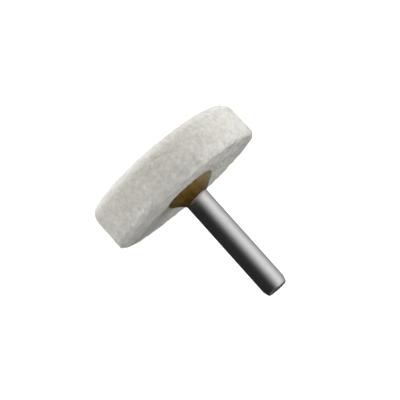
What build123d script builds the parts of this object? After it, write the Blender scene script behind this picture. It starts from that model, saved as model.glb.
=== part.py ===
from build123d import *
import os

# A felt polishing wheel for a hand motor: a disc of pressed wool felt, glued onto a round steel shank.
#
# Frame: the origin is the centre of the felt's working face. +Y is the spin axis and points out of
# the working face, the shank points towards -Y, and +Z is up. Each turned profile is drawn on the
# XY plane, where x is the radius and y the place along the spin axis, and is revolved about Y.
# All sizes are in millimetres.

# felt disc
wheel_r = 20.0
wheel_thickness = 10.0
working_edge_r = 2.4  # rounding between the rim and the working face
shank_side_edge_r = 1.0  # rounding between the rim and the shank side

# steel shank
shank_r = 3.0
shank_reach = 30.6  # from the felt's shank side to the free end
shank_depth = 7.6  # how far the shank goes into the felt
nose_length = 1.6  # the taper at the free end
nose_drop = 0.45  # how much the taper takes off the radius
nose_shoulder_r = 2.6
nose_rim_r = 0.7
inner_chamfer = 0.4

# the bonded stretch of the shank
knurl_count = 24
knurl_depth = 0.32
knurl_half_width = 0.3
knurl_length = 6.4
glue_groove_width = 0.9
glue_groove_depth = 0.45
glue_groove_pitch = 2.6
relief_width = 0.8  # a ring groove under the bead, where the ground surface begins
relief_depth = 0.3

# cured adhesive
film = 0.4  # around the shank, and between its inner end and the hole's floor
bead_r = 6.5
bead_height = 2.8
bead_edge = 0.35  # thickness of the bead's outer edge
bead_tip = 0.1  # thickness of the bead where it ends on the shank
bead_hollow = 0.15  # how far the bead's face dips below a straight cone

# places along the spin axis
shank_side_y = -wheel_thickness
inner_end_y = shank_side_y + shank_depth
hole_floor_y = inner_end_y + film
free_end_y = shank_side_y - shank_reach
nose_start_y = free_end_y + nose_length
knurl_start_y = inner_end_y - inner_chamfer
bead_tip_y = shank_side_y - bead_height
relief_y = bead_tip_y + relief_width / 2 + 0.1
hole_r = shank_r + film


# felt disc, with a blind hole in its shank side
with BuildPart() as felt_wheel:
    with BuildSketch(Plane.XY):
        with BuildLine():
            Polyline(
                (0, 0),
                (wheel_r, 0),
                (wheel_r, shank_side_y),
                (hole_r, shank_side_y),
                (hole_r, hole_floor_y),
                (0, hole_floor_y),
                close=True,
            )
        make_face()
    revolve(axis=Axis.Y)
    rim_edges = felt_wheel.edges().filter_by(GeomType.CIRCLE).group_by(SortBy.RADIUS)[-1]
    fillet(rim_edges.sort_by(Axis.Y)[-1], working_edge_r)
    rim_edges = felt_wheel.edges().filter_by(GeomType.CIRCLE).group_by(SortBy.RADIUS)[-1]
    fillet(rim_edges.sort_by(Axis.Y)[0], shank_side_edge_r)


# steel shank, tapered at its free end and knurled where it is bonded
with BuildPart() as shank:
    with BuildSketch(Plane.XY) as shank_profile:
        with BuildLine():
            Polyline(
                (0, inner_end_y),
                (shank_r - inner_chamfer, inner_end_y),
                (shank_r, knurl_start_y),
                (shank_r, nose_start_y),
                (shank_r - nose_drop, free_end_y),
                (0, free_end_y),
                close=True,
            )
        make_face()
        fillet(shank_profile.vertices().group_by(Axis.Y)[1], nose_shoulder_r)
        fillet(shank_profile.vertices().group_by(Axis.Y)[0].sort_by(Axis.X)[-1], nose_rim_r)
    revolve(axis=Axis.Y)
    # straight knurl: V grooves along the bonded stretch
    with BuildSketch(Plane.XZ.offset(-inner_end_y)):
        with PolarLocations(shank_r, knurl_count):
            Polygon(
                (-knurl_depth, 0),
                (knurl_depth, 2 * knurl_half_width),
                (knurl_depth, -2 * knurl_half_width),
                align=None,
            )
    extrude(amount=inner_chamfer + knurl_length, mode=Mode.SUBTRACT)
    # two ring grooves for the adhesive, and a relief under the bead
    with BuildSketch(Plane.XY):
        with Locations((shank_r, knurl_start_y - knurl_length / 2)):
            with GridLocations(0, glue_groove_pitch, 1, 2):
                Rectangle(2 * glue_groove_depth, glue_groove_width)
        with Locations((shank_r, relief_y)):
            Rectangle(2 * relief_depth, relief_width)
    revolve(axis=Axis.Y, mode=Mode.SUBTRACT)


# cured adhesive: the film in the hole, the pool past the shank's end, and the bead around its foot
with BuildPart() as adhesive_bond:
    with BuildSketch(Plane.XY):
        with BuildLine():
            bead_outer = (bead_r, shank_side_y - bead_edge)
            bead_inner = (shank_r + bead_tip, bead_tip_y)
            SagittaArc(bead_outer, bead_inner, -bead_hollow)
            Polyline(
                bead_inner,
                (0, bead_tip_y),
                (0, hole_floor_y),
                (hole_r, hole_floor_y),
                (hole_r, shank_side_y),
                (bead_r, shank_side_y),
                bead_outer,
            )
        make_face()
    revolve(axis=Axis.Y)
    add(shank.part, mode=Mode.SUBTRACT)


felt_wheel.part.label = "felt_wheel"
shank.part.label = "shank"
adhesive_bond.part.label = "adhesive_bond"

os.makedirs("parts", exist_ok=True)
export_step(felt_wheel.part, "parts/felt_wheel.step")
export_step(shank.part, "parts/shank.step")
export_step(adhesive_bond.part, "parts/adhesive_bond.step")
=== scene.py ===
"""The looks of the felt polishing wheel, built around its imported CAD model.

The wheel spins about Y: its working face is at the origin and looks along +Y, and the steel shank
runs along -Y. Lengths below are in millimetres until they go into a mesh or an object, in metres.
"""

from math import cos, radians, sin

import bpy
import numpy as np
from mathutils import Matrix, Vector, noise
from mathutils.bvhtree import BVHTree


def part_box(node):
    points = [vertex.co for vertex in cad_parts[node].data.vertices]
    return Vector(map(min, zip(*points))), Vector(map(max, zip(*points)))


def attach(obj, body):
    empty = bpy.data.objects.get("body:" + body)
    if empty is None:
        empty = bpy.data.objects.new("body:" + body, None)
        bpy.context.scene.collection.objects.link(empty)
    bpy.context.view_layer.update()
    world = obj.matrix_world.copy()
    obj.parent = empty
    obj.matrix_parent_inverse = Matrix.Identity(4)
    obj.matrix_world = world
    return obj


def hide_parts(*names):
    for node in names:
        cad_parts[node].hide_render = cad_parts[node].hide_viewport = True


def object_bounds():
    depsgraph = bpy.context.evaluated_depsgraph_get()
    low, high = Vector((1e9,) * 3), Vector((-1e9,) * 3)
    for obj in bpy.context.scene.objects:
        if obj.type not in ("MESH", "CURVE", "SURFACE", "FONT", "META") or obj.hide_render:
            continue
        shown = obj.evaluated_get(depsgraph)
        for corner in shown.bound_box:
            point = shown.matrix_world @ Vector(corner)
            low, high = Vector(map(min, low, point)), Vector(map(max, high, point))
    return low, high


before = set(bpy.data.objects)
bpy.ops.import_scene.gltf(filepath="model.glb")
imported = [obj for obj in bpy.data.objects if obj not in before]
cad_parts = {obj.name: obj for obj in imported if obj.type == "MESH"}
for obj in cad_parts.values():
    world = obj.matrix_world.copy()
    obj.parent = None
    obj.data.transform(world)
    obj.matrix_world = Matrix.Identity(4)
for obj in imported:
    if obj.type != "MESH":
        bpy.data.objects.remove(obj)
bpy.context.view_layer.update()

MM = 0.001
SEED = 11

# Places and sizes read from the CAD nodes, in millimetres.
felt_low, felt_high = (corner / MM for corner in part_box("felt_wheel"))
rod_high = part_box("shank")[1] / MM
bond_low, bond_high = (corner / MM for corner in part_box("adhesive_bond"))
WHEEL_R = felt_high.x
WORKING_Y = felt_high.y
SHANK_SIDE_Y = felt_low.y
THICKNESS = WORKING_Y - SHANK_SIDE_Y
ROD_R = rod_high.x
BEAD_R = bond_high.x
BEAD_TIP_Y = bond_low.y


# ---------------------------------------------------------------- small helpers


def smoothstep(low, high, x):
    """0 below low, 1 above high, and a smooth rise between them."""
    t = np.clip((x - low) / (high - low), 0, 1)
    return t * t * (3 - 2 * t)


def add_object(name, data):
    piece = bpy.data.objects.new(name, data)
    bpy.context.scene.collection.objects.link(piece)
    return piece


def mesh_object(name, points, faces, material):
    """A smooth mesh from points in millimetres."""
    mesh = bpy.data.meshes.new(name)
    mesh.from_pydata((np.asarray(points) * MM).tolist(), [], faces)
    mesh.shade_smooth()
    mesh.materials.append(material)
    mesh.validate()
    return add_object(name, mesh)


def noise_at(points, size, octaves=1, offset=0.0):
    """Perlin noise, about -1 to 1, with lumps about size millimetres across."""
    scaled = (points / size + offset).tolist()
    if octaves == 1:
        return np.array([noise.noise(p) for p in scaled])
    return np.array([noise.fractal(p, 1.0, 2.0, octaves) for p in scaled])


# ---------------------------------------------------------------- materials


class Nodes:
    """The nodes of a material or a world, with short calls to add and join them."""

    def __init__(self, owner, shader="Principled BSDF"):
        owner.use_nodes = True
        self.owner = owner
        self.tree = owner.node_tree
        self.shader = self.tree.nodes[shader]
        coordinates = self.add("ShaderNodeTexCoord").outputs
        self.place = coordinates["Object"]
        self.direction = coordinates["Generated"]

    def add(self, kind, **settings):
        node = self.tree.nodes.new(kind)
        for key, value in settings.items():
            setattr(node, key, value)
        return node

    def feed(self, socket, value):
        """Joins value to the socket if it is an output, or else sets it as a number or colour."""
        if isinstance(value, bpy.types.NodeSocket):
            self.tree.links.new(value, socket)
        else:
            socket.default_value = value

    def set(self, **values):
        for key, value in values.items():
            self.feed(self.shader.inputs[key.replace("_", " ")], value)

    def stretched(self, scale, turn=(0, 0, 0)):
        """The object's coordinates, scaled and turned. Scale is in cells per metre on each axis."""
        node = self.add("ShaderNodeMapping")
        self.feed(node.inputs["Vector"], self.place)
        self.feed(node.inputs["Scale"], scale)
        self.feed(node.inputs["Rotation"], turn)
        return node.outputs["Vector"]

    def noise(self, size_mm, detail=3.0, rough=0.5, warp=0.0, vector=None):
        node = self.add("ShaderNodeTexNoise")
        self.feed(node.inputs["Vector"], vector or self.place)
        self.feed(node.inputs["Scale"], 1 / (size_mm * MM) if vector is None else 1.0)
        self.feed(node.inputs["Detail"], detail)
        self.feed(node.inputs["Roughness"], rough)
        self.feed(node.inputs["Distortion"], warp)
        return node.outputs["Fac"]

    def ramp(self, value, *stops):
        """A colour ramp: each stop is (place, grey level or colour)."""
        node = self.add("ShaderNodeValToRGB")
        self.feed(node.inputs["Fac"], value)
        line = node.color_ramp
        while len(line.elements) < len(stops):
            line.elements.new(0.5)
        for element, (place, colour) in zip(line.elements, stops):
            element.position = place
            grey = isinstance(colour, (int, float))
            element.color = (colour, colour, colour, 1) if grey else (*colour, 1)
        return node.outputs["Color"]

    def math(self, operation, a, b):
        node = self.add("ShaderNodeMath", operation=operation)
        self.feed(node.inputs[0], a)
        self.feed(node.inputs[1], b)
        return node.outputs["Value"]

    def mix(self, share, a, b, blend="MIX"):
        node = self.add("ShaderNodeMix", data_type="RGBA", blend_type=blend)
        self.feed(node.inputs["Factor"], share)
        self.feed(node.inputs["A"], a)
        self.feed(node.inputs["B"], b)
        return node.outputs["Result"]

    def split(self, vector):
        """The X, Y and Z of a vector."""
        node = self.add("ShaderNodeSeparateXYZ")
        self.feed(node.inputs["Vector"], vector)
        return node.outputs["X"], node.outputs["Y"], node.outputs["Z"]

    def off_axis(self, x, z):
        """How far a point is from the spin axis, Y."""
        squares = self.math("ADD", self.math("MULTIPLY", x, x), self.math("MULTIPLY", z, z))
        return self.math("SQRT", squares, 0.0)

    def half_range(self, value):
        """Brings -1 to 1 into 0 to 1, the range of a ramp."""
        return self.math("MULTIPLY", self.math("ADD", value, 1.0), 0.5)

    def rise(self, value, low, high):
        """0 below low, 1 above high, and a smooth rise between them."""
        node = self.add("ShaderNodeMapRange", interpolation_type="SMOOTHSTEP")
        self.feed(node.inputs["Value"], value)
        self.feed(node.inputs["From Min"], low)
        self.feed(node.inputs["From Max"], high)
        return node.outputs["Result"]

    def bump(self, height, depth_mm, strength=1.0, under=None):
        node = self.add("ShaderNodeBump")
        self.feed(node.inputs["Height"], height)
        self.feed(node.inputs["Distance"], depth_mm * MM)
        self.feed(node.inputs["Strength"], strength)
        if under is not None:
            self.feed(node.inputs["Normal"], under)
        return node.outputs["Normal"]


def felt_material():
    """Off-white wool felt, softly mottled, with faint yellow-grey specks and matted fibres.

    Its edges are paler: partly the nap standing up there, and partly a painted sheen.
    """
    n = Nodes(bpy.data.materials.new("felt_wool"))
    broad = n.ramp(n.noise(5.0, 4, 0.6), (0.3, (0.56, 0.535, 0.48)), (0.7, (0.60, 0.58, 0.532)))
    mottle = n.ramp(n.noise(0.9, 5, 0.6, 0.2), (0.32, 0.78), (0.68, 1.05))
    colour = n.mix(1.0, broad, mottle, "MULTIPLY")
    specks = n.ramp(n.noise(1.3, 2, 0.5), (0.62, 0.0), (0.72, 1.0))
    colour = n.mix(n.math("MULTIPLY", specks, 0.5), colour, (0.37, 0.34, 0.22, 1))
    x, y, z = n.split(n.place)
    half = THICKNESS / 2
    off_middle = n.math("ABSOLUTE", n.math("ADD", y, half * MM), 0.0)
    # the outer edges of both faces are paler: the raised nap, and a painted sheen along them
    outer = n.rise(n.off_axis(x, z), (WHEEL_R - 3.0) * MM, (WHEEL_R - 0.5) * MM)
    nap_and_painted_sheen = n.math("MULTIPLY", outer, n.rise(off_middle, (half - 2.5) * MM, half * MM))
    colour = n.mix(n.math("MULTIPLY", nap_and_painted_sheen, 0.40), colour, (0.67, 0.665, 0.64, 1))
    # each layer holds fibres that lie along one direction
    turns = (
        (0, 0, 0.3), (0, 0, 1.3), (0.9, 0, 2.2),
        (0.5, 1.1, 0.8), (1.2, 0.4, 1.9), (0.2, 0.8, 2.7),
    )
    mat = 0.0
    for turn in turns:
        layer = n.noise(1, 2, 0.6, 0.5, n.stretched((900, 5200, 5200), turn))
        mat = n.math("MAXIMUM", mat, layer)
    normal = n.bump(n.noise(0.5, 4, 0.7, 0.3), 0.09, 0.7)
    normal = n.bump(mat, 0.05, 0.6, normal)
    n.set(Base_Color=colour, Roughness=0.95, Normal=normal)
    n.set(Sheen_Weight=0.5, Sheen_Roughness=0.5, Specular_IOR_Level=0.12)
    return n.owner


def fibre_material():
    """Loose wool fibres, a little lighter than the felt under them."""
    n = Nodes(bpy.data.materials.new("wool_fibre"))
    tint = n.ramp(n.noise(2.5, 2), (0.35, (0.50, 0.485, 0.45)), (0.65, (0.66, 0.65, 0.61)))
    n.set(Base_Color=tint, Roughness=0.8)
    n.set(Sheen_Weight=0.2, Specular_IOR_Level=0.2)
    return n.owner


def adhesive_material():
    """Cured brown adhesive, clouded olive to amber, with dull patches.

    It is darker near the shank, has streaks that run towards it, and is paler and greyer at +X: a
    painted reflection of the room's bright side.
    """
    n = Nodes(bpy.data.materials.new("cured_adhesive"))
    cloud = n.ramp(
        n.noise(1.8, 4, 0.6, 0.6),
        (0.30, (0.074, 0.037, 0.002)),
        (0.50, (0.112, 0.066, 0.006)),
        (0.72, (0.155, 0.108, 0.018)),
    )
    x, _, z = n.split(n.place)
    radius = n.off_axis(x, z)
    depth = n.ramp(
        n.math("DIVIDE", radius, BEAD_R * MM),
        (0.45, (0.42, 0.34, 0.10)),
        (0.72, (0.85, 0.78, 0.50)),
        (0.97, (1.15, 1.20, 1.60)),
    )
    colour = n.mix(1.0, cloud, depth, "MULTIPLY")
    # the streaks' cells, in the angle round the shank and the distance from it
    cells_per_radian, cells_per_metre = 17.0, 500.0
    around = n.add("ShaderNodeCombineXYZ")
    n.feed(around.inputs["X"], n.math("MULTIPLY", n.math("ARCTAN2", x, z), cells_per_radian))
    n.feed(around.inputs["Y"], n.math("MULTIPLY", radius, cells_per_metre))
    streaks = n.ramp(n.noise(1, 3, 0.7, 0.0, around.outputs["Vector"]), (0.35, 0.78), (0.65, 1.22))
    colour = n.mix(1.0, colour, streaks, "MULTIPLY")
    # paler and greyer towards +X: a painted reflection of the room's bright side, mixed into the
    # colour
    painted_reflection = n.math("MULTIPLY", n.rise(x, 0.2 * BEAD_R * MM, BEAD_R * MM), 0.7)
    colour = n.mix(painted_reflection, colour, (0.17, 0.14, 0.08, 1))
    dull = n.ramp(n.noise(0.9, 3, 0.6), (0.35, 0.26), (0.7, 0.45))
    normal = n.bump(n.noise(0.8, 3, 0.5, 0.3), 0.08, 0.5)
    n.set(Base_Color=colour, Roughness=dull, Normal=normal, Specular_IOR_Level=0.22)
    return n.owner


def steel_material():
    """Ground and polished steel: fine rings from grinding, and faint scratches along the rod."""
    n = Nodes(bpy.data.materials.new("polished_steel"))
    rings = n.noise(1, 3, 0.6, 0.0, n.stretched((300, 9000, 300)))
    streaks = n.noise(1, 2, 0.5, 0.2, n.stretched((2500, 160, 2500)))
    tone = n.ramp(n.noise(3.0, 3, 0.6), (0.3, (0.505, 0.505, 0.505)), (0.7, (0.56, 0.56, 0.555)))
    wear = n.math("ADD", n.math("MULTIPLY", rings, 0.6), n.math("MULTIPLY", streaks, 0.4))
    rough = n.ramp(wear, (0.35, 0.09), (0.65, 0.16))
    normal = n.bump(rings, 0.0015, 0.2)
    n.set(Base_Color=tone, Metallic=1.0, Roughness=rough, Normal=normal)
    return n.owner


# ---------------------------------------------------------------- felt

OFF_CENTRE = -0.45  # how far the disc's rim is off the spin axis, along X
MEAN_LOSS = 0.15  # how much thinner than nominal the disc is in the middle
WEDGE = 0.45  # how much thinner again at +X, and thicker at -X
PROUD = 0.32  # how far the shank side stands out past nominal, clear of the adhesive
SKEW = (0.22, 0.55)  # how much more it stands out at +X and at +Z, and less at -X and -Z
CROWN = 0.09  # how much smaller the rim is towards the working face: twice this at +X, none at -X
CUT_FADE = 1.3  # how soon the sawn side's roughness fades along the rim


def near_cut(y):
    """1 on the sawn shank side, fading to 0 along the rim."""
    return np.exp(-(((y - SHANK_SIDE_Y) / CUT_FADE) ** 2))


def felt_base():
    """The CAD disc, hole and all, as an even mesh of small quads. Returns its points and quads."""
    voxel_mm = 0.212
    piece = add_object("felt_base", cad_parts["felt_wheel"].data.copy())
    remesh = piece.modifiers.new("even", "REMESH")
    remesh.mode = "VOXEL"
    remesh.voxel_size = voxel_mm * MM
    graph = bpy.context.evaluated_depsgraph_get()
    mesh = bpy.data.meshes.new_from_object(piece.evaluated_get(graph))
    points = np.empty(len(mesh.vertices) * 3)
    mesh.vertices.foreach_get("co", points)
    normals = np.empty(len(mesh.vertices) * 3)
    mesh.vertex_normals.foreach_get("vector", normals)
    faces = [tuple(face.vertices) for face in mesh.polygons]
    bpy.data.objects.remove(piece)
    return points.reshape(-1, 3) / MM, normals.reshape(-1, 3), faces


def felt_relief(points):
    """How far the felt's surface stands out at each point.

    It is lumpy and tufted, with a nap, matted ridges and small pits. The sawn shank side has less
    nap and more grain. Its edge is ragged, and sharper at the top and the bottom, where the saw
    left a burr. At -X the edge of the working face is fuller.
    """
    radius = np.hypot(points[:, 0], points[:, 2])
    cut = near_cut(points[:, 1])
    lumps = 0.05 * noise_at(points, 9.0, 2)
    tufts = (0.022 - 0.010 * cut) * noise_at(points, 2.2, 2, 7.3)
    nap = (0.040 - 0.026 * cut) * noise_at(points, 0.8, 2, 3.1)
    ridges = 0.02 * (0.4 - np.abs(noise_at(points * (1, 2.2, 1), 1.0, 1, 5.7)))
    grain = (0.02 + 0.05 * cut) * noise_at(points, 0.5, 1, 1.7)
    pit_spacing = 4.2
    from_pit = np.array([noise.voronoi(p)[0][0] for p in (points / pit_spacing).tolist()])
    pits = -0.09 * (1 - smoothstep(0.04, 0.16, from_pit))
    ragged = 0.18 * noise_at(points, 1.3, 2, 9.9) + 0.22 * noise_at(points, 3.2, 2, 14.2)
    ragged *= cut * smoothstep(0.85 * WHEEL_R, WHEEL_R, radius)
    burr_inset, burr_r = 0.3, 0.55
    from_burr = np.hypot(radius - WHEEL_R + burr_inset, points[:, 1] - SHANK_SIDE_Y - burr_inset)
    burr = 0.16 * np.exp(-((from_burr / burr_r) ** 2)) * (points[:, 2] / WHEEL_R) ** 2
    full_inset, full_r = 0.7, 1.0
    from_full = np.hypot(radius - WHEEL_R + full_inset, points[:, 1] - WORKING_Y + full_inset)
    to_left = np.clip(-points[:, 0] / WHEEL_R, 0, 1)
    full = 0.28 * np.exp(-((from_full / full_r) ** 2)) * to_left**2
    return lumps + tufts + nap + ridges + grain + pits + ragged + burr + full


def uneven(points):
    """The disc as it was cut: a little off centre, and not the same thickness all round."""
    radius = np.hypot(points[:, 0], points[:, 2])
    depth = np.clip((points[:, 1] - SHANK_SIDE_Y) / THICKNESS, 0, 1)
    clear = smoothstep(BEAD_R, 2 * BEAD_R, radius)
    moved = points.copy()
    shrink = CROWN * (1 + points[:, 0] / WHEEL_R) * np.clip(2 * depth - 1, 0, 1) ** 2 / WHEEL_R
    moved[:, (0, 2)] *= (1 - shrink * clear)[:, None]
    moved[:, 0] += OFF_CENTRE * clear
    moved[:, 1] -= depth * (MEAN_LOSS + WEDGE * points[:, 0] / WHEEL_R)
    skew = (points[:, (0, 2)] / WHEEL_R) @ SKEW
    moved[:, 1] -= (1 - depth) * (PROUD * clear + skew)
    return moved


def make_felt(material):
    """The felt disc, with its relief, and as uneven as it was cut."""
    points, normals, faces = felt_base()
    radius = np.hypot(points[:, 0], points[:, 2])
    # the hole and the ring under the adhesive have no relief
    free = smoothstep(BEAD_R * 0.55, BEAD_R * 0.9, radius)
    free = np.maximum(free, smoothstep(SHANK_SIDE_Y + 0.86 * THICKNESS, WORKING_Y, points[:, 1]))
    points += normals * (felt_relief(points) * free)[:, None]
    felt = mesh_object("felt_disc", uneven(points), faces, material)
    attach(felt, "root")
    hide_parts("felt_wheel")
    return felt


def make_fibres(name, felt, material, seed, count, rings, fibre_r, length_mm, lift_mm):
    """Wool fibres that wander over the felt, as closed three-sided tubes, partly sunk in it.

    length_mm and lift_mm are each a least and a most, and lift_mm is how far a fibre stands up.
    """
    sides = 3
    draw = np.random.default_rng(seed)
    mesh = felt.data
    mesh.calc_loop_triangles()
    tree = BVHTree.FromPolygons(
        [v.co / MM for v in mesh.vertices], [t.vertices for t in mesh.loop_triangles]
    )
    corners = np.array([t.vertices for t in mesh.loop_triangles])
    areas = np.array([t.area for t in mesh.loop_triangles])
    places = np.empty(len(mesh.vertices) * 3)
    mesh.vertices.foreach_get("co", places)
    places = places.reshape(-1, 3) / MM
    # starting places, clear of the hole and the adhesive
    centres = places[corners].mean(axis=1)
    open_felt = (np.hypot(centres[:, 0], centres[:, 2]) > BEAD_R + 0.6) | (centres[:, 1] > -1.0)
    # the sawn side is the hairiest
    weights = areas * open_felt * (1 + 5 * near_cut(centres[:, 1]))
    picks = draw.choice(len(corners), count, p=weights / weights.sum())
    points, faces = [], []
    for pick in picks:
        here = Vector(centres[pick])
        step = draw.uniform(*length_mm) / (rings - 1)
        turn = draw.normal(0, 0.35)
        way = Vector(draw.normal(size=3))
        high = draw.uniform(*lift_mm)
        arch = draw.choice(3)
        path = []
        for k in range(rings):
            spot, normal, _, _ = tree.find_nearest(here)
            t = k / (rings - 1)
            # an arch, a loose end, or a fibre that lies flat
            rise = (sin(np.pi * t), t * t, 0.15)[arch]
            path.append((spot + normal * (high * rise - 0.4 * fibre_r), normal))
            way = (way - normal * way.dot(normal)).normalized()
            way = Matrix.Rotation(turn + draw.normal(0, 0.25), 3, normal) @ way
            here = spot + way * step
        first = len(points)
        for k, (spot, normal) in enumerate(path):
            ahead = path[min(k + 1, rings - 1)][0] - path[max(k - 1, 0)][0]
            along = ahead.normalized()
            side = along.cross(normal).normalized()
            up = side.cross(along)
            ring_r = fibre_r * (0.45 if k in (0, rings - 1) else 1.0)
            for j in range(sides):
                angle = 2 * np.pi * j / sides
                points.append(spot + (side * cos(angle) + up * sin(angle)) * ring_r)
        for k in range(rings - 1):
            for j in range(sides):
                a = first + k * sides + j
                b = first + k * sides + (j + 1) % sides
                faces.append((a, b, b + sides, a + sides))
        faces.append((first + 2, first + 1, first))
        last = first + (rings - 1) * sides
        faces.append((last, last + 1, last + 2))
    piece = mesh_object(name, points, faces, material)
    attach(piece, "root")
    return piece


# ---------------------------------------------------------------- adhesive


def make_bead(material):
    """The bead of adhesive round the shank's foot: a blunt-edged cone, daubed on unevenly."""
    turns, steps = 300, 70
    sink = 0.5  # how deep its root is in the felt
    inset = 0.05  # how far its inner wall is inside the shank
    blunt = 0.11  # the blunt edge's share of the height
    edge_round = 0.12  # how far the edge draws in towards the felt
    height = SHANK_SIDE_Y - BEAD_TIP_Y
    angles = np.linspace(0, 2 * np.pi, turns, endpoint=False)
    ring = np.stack([np.cos(angles), np.zeros(turns), np.sin(angles)], axis=1)
    down = np.array([0, -1, 0])
    foot = np.array([0, SHANK_SIDE_Y, 0])
    # it spread further towards +X, and crept further along the shank towards -X
    reach = BEAD_R - ROD_R + 0.32 * ring[:, 0] + 0.15 * noise_at(ring * 1.5, 1.0, 2, 2.0)
    tip = height - 0.25 * ring[:, 0] + 0.15 * ring[:, 2] + 0.2 * noise_at(ring * 1.4, 1.0, 2, 6.0)
    hollow = 1.2 - 0.4 * ring[:, 0] + 0.12 * noise_at(ring * 2.1, 1.0, 1, 3.0)
    rows = []
    for k in range(steps):
        # the rows are closer together at the edge
        share = (k / (steps - 1)) ** 1.4
        past_edge = (share - blunt) / (1 - blunt)
        # past_edge, but 0 and not negative along the edge, with a soft bend between the two
        slope_share = 0.5 * (past_edge + np.hypot(past_edge, 0.05 * (1 - share)))
        slope = reach * (1 - slope_share) ** hollow - edge_round * (1 - min(share / blunt, 1)) ** 2
        rows.append(foot + ring * (ROD_R + slope)[:, None] + np.outer(tip * share, down))
    face = np.concatenate(rows)
    fade = np.repeat(np.sin(np.pi * (np.arange(steps) / (steps - 1))), turns)
    waves = (0.13 * noise_at(face, 1.9, 2, 4.0) + 0.04 * noise_at(face, 0.6, 1, 8.0)) * fade
    radial = face * (1, 0, 1)
    radial /= np.linalg.norm(radial, axis=1)[:, None]
    face += (0.5 * radial + 0.85 * down) * waves[:, None]
    inner = ring * (ROD_R - inset)
    sunk = rows[0] - sink * down
    top = foot + inner + np.outer(tip, down)
    root = foot + inner - sink * down
    rings = np.concatenate([sunk, face, top, root])
    count = steps + 3
    faces = []
    for k in range(count):
        here, after = k * turns, (k + 1) % count * turns
        for j in range(turns):
            beside = (j + 1) % turns
            faces.append((here + j, here + beside, after + beside, after + j))
    bead = mesh_object("adhesive_bead", rings, faces, material)
    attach(bead, "root")
    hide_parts("adhesive_bond")
    return bead


# ---------------------------------------------------------------- studio

ROOM = 1.2  # the brightness of the room's bright side
BRIGHT_SIDE = radians(26)  # how far that side is above +X
VIEW_TILT = radians(8.02)  # how far the shank leans towards the camera
VIEW_ROLL = radians(48.15)  # from the picture's right edge down to the shank
CAMERA_MM = 455.0  # from the camera to the shank's foot
PICTURE_MM = 91.3  # the picture's width at the wheel
LEFT_MM, ABOVE_MM = 2.58, 2.43  # how far the shank's foot is from the picture's centre


def view_axes():
    """The camera's right, up and backward directions."""
    back = Vector((0, -sin(VIEW_TILT), cos(VIEW_TILT)))
    along = Vector((0, -cos(VIEW_TILT), -sin(VIEW_TILT)))
    across = Vector((1, 0, 0))
    right = along * cos(VIEW_ROLL) + across * sin(VIEW_ROLL)
    up = across * cos(VIEW_ROLL) - along * sin(VIEW_ROLL)
    return right, up, back


def make_camera():
    """The camera at the photograph's viewing angle."""
    right, up, back = view_axes()
    camera = add_object("camera", bpy.data.cameras.new("camera"))
    foot = Vector((0, SHANK_SIDE_Y, 0))
    spot = foot + back * CAMERA_MM + right * LEFT_MM - up * ABOVE_MM
    turn = Matrix((right, up, back)).transposed().to_4x4()
    camera.matrix_world = Matrix.Translation(spot * MM) @ turn
    camera.data.sensor_width = 36
    camera.data.lens = camera.data.sensor_width * CAMERA_MM / PICTURE_MM
    camera.data.clip_start = 0.01
    camera.data.clip_end = 50
    bpy.context.scene.camera = camera


def make_softbox(name, direction, distance_mm, size_mm, power, colour=(1, 1, 1)):
    """A rectangular soft light, out along direction and turned towards the wheel."""
    data = bpy.data.lights.new(name, "AREA")
    data.shape = "RECTANGLE"
    data.size, data.size_y = size_mm[0] * MM, size_mm[1] * MM
    data.energy = power
    data.color = colour
    light = add_object(name, data)
    away = Vector(direction).normalized()
    aim = Vector((0, SHANK_SIDE_Y, 0))
    turn = away.to_track_quat("Z", "Y").to_matrix().to_4x4()
    light.matrix_world = Matrix.Translation((aim + away * distance_mm) * MM) @ turn
    light.visible_camera = False
    light.visible_glossy = False


def make_floor():
    """A white light table under the wheel's rim."""
    n = Nodes(bpy.data.materials.new("floor_white"))
    cloud = n.ramp(n.noise(60, 2), (0.3, 0.48), (0.7, 0.52))
    n.set(Base_Color=cloud, Roughness=0.9, Emission_Color=(1, 1, 1, 1), Emission_Strength=0.78)
    half = 3000.0
    gap = 0.05
    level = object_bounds()[0].z / MM - gap
    square = ((-half, -half), (half, -half), (half, half), (-half, half))
    floor = mesh_object("floor", [(x, y, level) for x, y in square], [(0, 1, 2, 3)], n.owner)
    floor.visible_glossy = False
    floor.visible_diffuse = False


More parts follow.
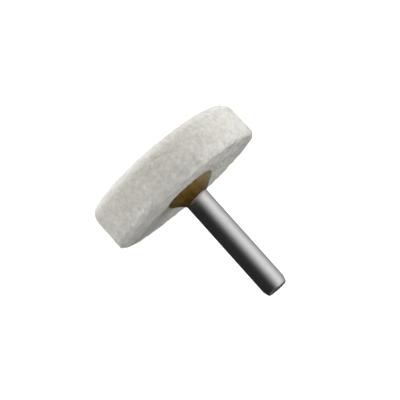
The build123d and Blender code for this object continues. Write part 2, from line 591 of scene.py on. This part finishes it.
def make_world():
    """Soft light from all round: dim at -X, bright at +X, and a white backdrop for the camera."""
    n = Nodes(bpy.data.worlds.new("studio"), "Background")
    x, y, z = n.split(n.direction)
    # the gradient runs round the shank's axis, and goes no further down than just below the horizon
    spread = n.math("MAXIMUM", n.off_axis(x, z), 0.01)
    sideways = n.math("MULTIPLY", n.math("DIVIDE", x, spread), cos(BRIGHT_SIDE))
    height = n.math("MAXIMUM", n.math("DIVIDE", z, spread), -0.1)
    upwards = n.math("MULTIPLY", height, sin(BRIGHT_SIDE))
    shade = n.ramp(
        n.half_range(n.math("ADD", sideways, upwards)),
        (0.0, 0.03),
        (0.36, 0.035),
        (0.55, 0.08),
        (0.72, 0.25),
        (0.875, 0.58),
        (0.925, 0.75),
        (0.975, 0.92),
        (1.0, 1.0),
    )
    # the room's end at +Y is grey, paler above, and the other end has a little of the same grey
    end_grey = n.ramp(n.half_range(z), (0.25, 0.14), (0.8, 0.50))
    to_free_end = n.math("MULTIPLY", y, -1.0)
    colour = n.mix(n.rise(y, 0.4, 0.8), shade, end_grey)
    colour = n.mix(n.math("MULTIPLY", n.rise(to_free_end, 0.4, 0.7), 0.2), colour, end_grey)
    # two more greys, for the shank's end face: low on the dim side, and straight ahead of it
    low = n.rise(n.math("MULTIPLY", z, -1.0), 0.3, 0.42)
    dim_side = n.rise(n.math("MULTIPLY", x, -1.0), 0.1, 0.4)
    share = n.math("MULTIPLY", n.math("MULTIPLY", n.rise(to_free_end, 0.45, 0.6), low), dim_side)
    colour = n.mix(share, colour, (0.22, 0.22, 0.22, 1))
    colour = n.mix(n.rise(to_free_end, 0.95, 0.995), colour, (0.15, 0.15, 0.15, 1))
    n.set(Color=colour, Strength=ROOM)
    backdrop = n.add("ShaderNodeBackground")
    n.feed(backdrop.inputs["Color"], (1, 1, 1, 1))
    choice = n.add("ShaderNodeMixShader")
    n.feed(choice.inputs["Fac"], n.add("ShaderNodeLightPath").outputs["Is Camera Ray"])
    n.feed(choice.inputs[1], n.shader.outputs["Background"])
    n.feed(choice.inputs[2], backdrop.outputs["Background"])
    n.feed(n.tree.nodes["World Output"].inputs["Surface"], choice.outputs["Shader"])
    bpy.context.scene.world = n.owner


def make_lights():
    """The soft lights. Each call has its direction, distance, size, power and any tint."""
    make_softbox("right_box", (1, -0.52, 0.37), 110, (90, 60), 0.064, (0.96, 1.0, 1.04))
    make_softbox("top_left_box", (-0.05, 1, 0.28), 320, (240, 150), 0.97, (0.99, 1.0, 1.015))
    make_softbox("left_fill", (-1, 0, 0.28), 320, (240, 150), 0.69)
    make_softbox("overhead", (0, 0, 1), 400, (300, 300), 0.08)
    make_softbox("shank_end_box", (0.6, -1, 0.4), 300, (240, 240), 0.105, (1.05, 1.0, 0.93))


# ---------------------------------------------------------------- the picture

make_camera()
felt = make_felt(felt_material())
wool = fibre_material()
make_fibres(
    "lying_fibres", felt, wool, SEED,
    count=6000, rings=6, fibre_r=0.022, length_mm=(1.0, 2.8), lift_mm=(0.02, 0.07),
)
make_fibres(
    "loose_fibres", felt, wool, SEED + 1,
    count=4200, rings=7, fibre_r=0.020, length_mm=(0.6, 1.6), lift_mm=(0.08, 0.30),
)
make_bead(adhesive_material())
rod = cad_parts["shank"]
rod.data.materials.clear()
rod.data.materials.append(steel_material())
make_floor()
make_world()
make_lights()
bpy.context.scene.view_settings.view_transform = "Standard"
